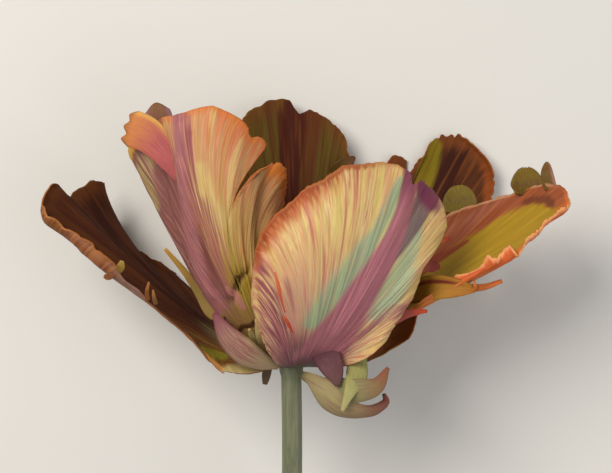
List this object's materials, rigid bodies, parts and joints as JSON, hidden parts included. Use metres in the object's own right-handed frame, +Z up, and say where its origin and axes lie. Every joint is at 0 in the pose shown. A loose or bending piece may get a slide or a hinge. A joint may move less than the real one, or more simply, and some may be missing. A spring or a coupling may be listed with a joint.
{
  "type": "cut parrot tulip",
  "caption": "Cut parrot tulip lying on its side: a bare curved stem that carries an open bloom of feathered, waved and curled streaked tepals round a pistil and its stamens.",
  "frame": {"origin": "centre of the bounding box in x and y, at the bottom, which is the surface that the flower lies on", "axes": "+Y runs from the stem's cut end to the open end of the bloom, +Z is up from the surface it lies on, and +X is across the bloom to the right when it is seen from above with the bloom away from the viewer"},
  "size_m": [0.1453, 0.247, 0.0698],
  "materials": {
    "outer_tepal": "soft satin petal, streaked",
    "inner_tepal": "soft satin petal, streaked",
    "curled_tepal": "soft satin petal, streaked",
    "stem_green": "smooth, faintly waxy",
    "ovary_green": "smooth, faintly waxy",
    "stigma_yellow": "velvety",
    "filament_yellow": "smooth",
    "anther_purple": "powdery matt"
  },
  "bodies": {
    "root": {"stem": "stem_green", "tepal_front": "outer_tepal", "tepal_front_left": "inner_tepal", "tepal_left": "outer_tepal", "tepal_back": "inner_tepal", "tepal_back_right": "outer_tepal", "tepal_right": "inner_tepal", "curled_tepal": "curled_tepal", "ovary": "ovary_green", "stigma": "stigma_yellow", "filament_1": "filament_yellow", "filament_2": "filament_yellow", "filament_3": "filament_yellow", "filament_4": "filament_yellow", "filament_5": "filament_yellow", "filament_6": "filament_yellow", "anther_1": "anther_purple", "anther_2": "anther_purple", "anther_3": "anther_purple", "anther_4": "anther_purple", "anther_5": "anther_purple", "anther_6": "anther_purple"}
  },
  "joints": []
}
